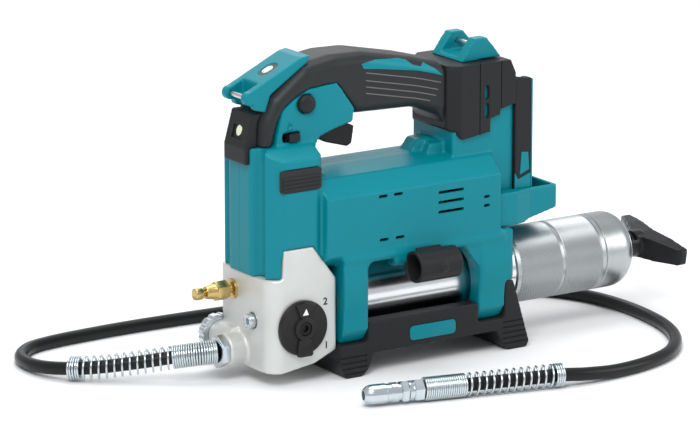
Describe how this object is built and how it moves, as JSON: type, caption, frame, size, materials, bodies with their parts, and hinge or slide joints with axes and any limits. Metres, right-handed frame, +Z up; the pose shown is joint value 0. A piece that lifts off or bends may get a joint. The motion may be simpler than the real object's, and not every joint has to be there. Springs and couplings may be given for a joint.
{
  "type": "cordless grease gun",
  "caption": "Handle-top cordless grease gun with cast pump head, drawn-out barrel and rod, geared motor, and a coiled-end hose with coupler.",
  "frame": {"origin": "on the floor under the skid, in the joint plane of the housing halves, midway along the skid", "axes": "+X towards the loading end of the barrel, -X towards the pump head, -Y the operator's left side, +Z up"},
  "size_m": [0.5075, 0.3118, 0.242],
  "materials": {
    "teal_plastic": "satin moulded teal plastic",
    "charcoal_rubber": "matte soft grip rubber",
    "charcoal_plastic": "fine grained charcoal plastic",
    "black_plastic": "black moulded plastic",
    "grey_plastic": "satin grey plastic",
    "white_plastic": "glossy white plastic",
    "lens": "clear moulded lens",
    "cast_alloy": "blasted die-cast alloy",
    "zinc_steel": "bright zinc plating",
    "bright_steel": "ground steel",
    "chrome_plate": "polished chrome plating",
    "satin_aluminium": "satin and knurled",
    "brass": "machined brass",
    "copper_windings": "lacquered copper windings",
    "ferrite": "dark sintered ferrite",
    "black_rubber": "oil resistant rubber",
    "black_screw": "black oxide",
    "circuit_board": "green lacquered board"
  },
  "bodies": {
    "frame": {"housing_left": "teal_plastic", "housing_right": "teal_plastic", "handle_grip": "charcoal_rubber", "nose_panel": "charcoal_plastic", "front_strap_bracket": "teal_plastic", "rear_strap_bracket": "teal_plastic", "front_strap_pin": "bright_steel", "rear_strap_pin": "bright_steel", "power_bezel": "grey_plastic", "led_lens": "lens", "side_pads": "charcoal_rubber", "rear_cover": "charcoal_plastic", "battery_block": "charcoal_plastic", "battery_terminals": "brass", "battery_guard": "teal_plastic", "base_skid": "charcoal_plastic", "skid_inserts": "teal_plastic", "housing_screws": "zinc_steel", "pump_head": "cast_alloy", "outlet_cap": "zinc_steel", "head_bolts": "zinc_steel", "barrel_seal": "black_rubber", "bleeder_body": "brass", "outlet_nut": "zinc_steel", "coupler_holder": "charcoal_plastic", "trigger_pin": "bright_steel", "trigger_switch": "black_plastic", "controller_board": "circuit_board", "motor_can": "bright_steel", "motor_magnets": "ferrite", "motor_bearings": "bright_steel", "gearbox_case": "cast_alloy", "ring_gear": "bright_steel", "plunger_spring": "bright_steel", "hose": "black_rubber", "spring_guards": "zinc_steel", "coupler": "chrome_plate"},
    "power_button": {"power_button": "white_plastic"},
    "bleeder_stem": {"bleeder_stem": "brass"},
    "selector": {"selector_dial": "charcoal_plastic", "dial_screw": "black_screw"},
    "trigger": {"trigger": "charcoal_plastic"},
    "lock_off": {"lock_off_button": "charcoal_plastic"},
    "lock_slide": {"lock_slide": "black_plastic"},
    "rotor": {"motor_rotor": "copper_windings", "cooling_fan": "black_plastic", "sun_gear": "bright_steel"},
    "carrier": {"planet_carrier": "bright_steel", "drive_cam": "bright_steel"},
    "planet_1": {"planet_1": "bright_steel"},
    "planet_2": {"planet_2": "bright_steel"},
    "planet_3": {"planet_3": "bright_steel"},
    "plunger": {"plunger": "bright_steel"},
    "barrel": {"barrel_tube": "chrome_plate", "barrel_sleeve": "satin_aluminium", "barrel_cap": "satin_aluminium", "follower_spring": "bright_steel"},
    "follower": {"follower_rod": "bright_steel", "follower_piston": "black_rubber", "tee_handle": "black_plastic"}
  },
  "joints": [
    {"name": "power_press", "type": "slide", "parent": "frame", "child": "power_button", "axis": [0.4147, 0, -0.91], "range_m": [0, 0.0009], "stiffness_N_per_m": 600},
    {"name": "bleeder_press", "type": "slide", "parent": "frame", "child": "bleeder_stem", "axis": [1, 0, 0], "range_m": [0, 0.0025], "stiffness_N_per_m": 500},
    {"name": "selector_turn", "type": "hinge", "parent": "frame", "child": "selector", "pos_m": [-0.1165, -0.038, 0.0445], "axis": [0, 1, 0], "range_deg": [0, 125]},
    {"name": "trigger_pull", "type": "hinge", "parent": "frame", "child": "trigger", "pos_m": [-0.092, 0, 0.19], "axis": [0, -1, 0], "range_deg": [0, 12], "stiffness_Nm_per_rad": 1, "springref_deg": -2.86},
    {"name": "lock_off_press", "type": "slide", "parent": "frame", "child": "lock_off", "axis": [0, 1, 0], "range_m": [0, 0.004]},
    {"name": "lock_slide_travel", "type": "slide", "parent": "frame", "child": "lock_slide", "axis": [-1, 0, 0], "range_m": [0, 0.0035]},
    {"name": "rotor_spin", "type": "hinge", "parent": "frame", "child": "rotor", "pos_m": [0, 0, 0.119], "axis": [1, 0, 0], "continuous": true},
    {"name": "carrier_spin", "type": "hinge", "parent": "frame", "child": "carrier", "pos_m": [0, 0, 0.119], "axis": [1, 0, 0], "continuous": true},
    {"name": "planet_1_spin", "type": "hinge", "parent": "carrier", "child": "planet_1", "pos_m": [-0.047, 0, 0.134], "axis": [1, 0, 0], "continuous": true},
    {"name": "planet_2_spin", "type": "hinge", "parent": "carrier", "child": "planet_2", "pos_m": [-0.047, -0.01299, 0.1115], "axis": [1, 0, 0], "continuous": true},
    {"name": "planet_3_spin", "type": "hinge", "parent": "carrier", "child": "planet_3", "pos_m": [-0.047, 0.01299, 0.1115], "axis": [1, 0, 0], "continuous": true},
    {"name": "plunger_stroke", "type": "slide", "parent": "frame", "child": "plunger", "axis": [0, 0, 1], "range_m": [0, 0.0065], "deforming": ["plunger_spring"]},
    {"name": "barrel_draw", "type": "slide", "parent": "frame", "child": "barrel", "axis": [1, 0, 0], "range_m": [0, 0.2]},
    {"name": "follower_pull", "type": "slide", "parent": "barrel", "child": "follower", "axis": [1, 0, 0], "range_m": [0, 0.2], "deforming": ["follower_spring"]}
  ],
  "couplings": [
    {"joint": "carrier_spin", "follows": "rotor_spin", "ratio": 0.2},
    {"joint": "planet_1_spin", "follows": "rotor_spin", "ratio": -0.53333},
    {"joint": "planet_2_spin", "follows": "rotor_spin", "ratio": -0.53333},
    {"joint": "planet_3_spin", "follows": "rotor_spin", "ratio": -0.53333}
  ]
}
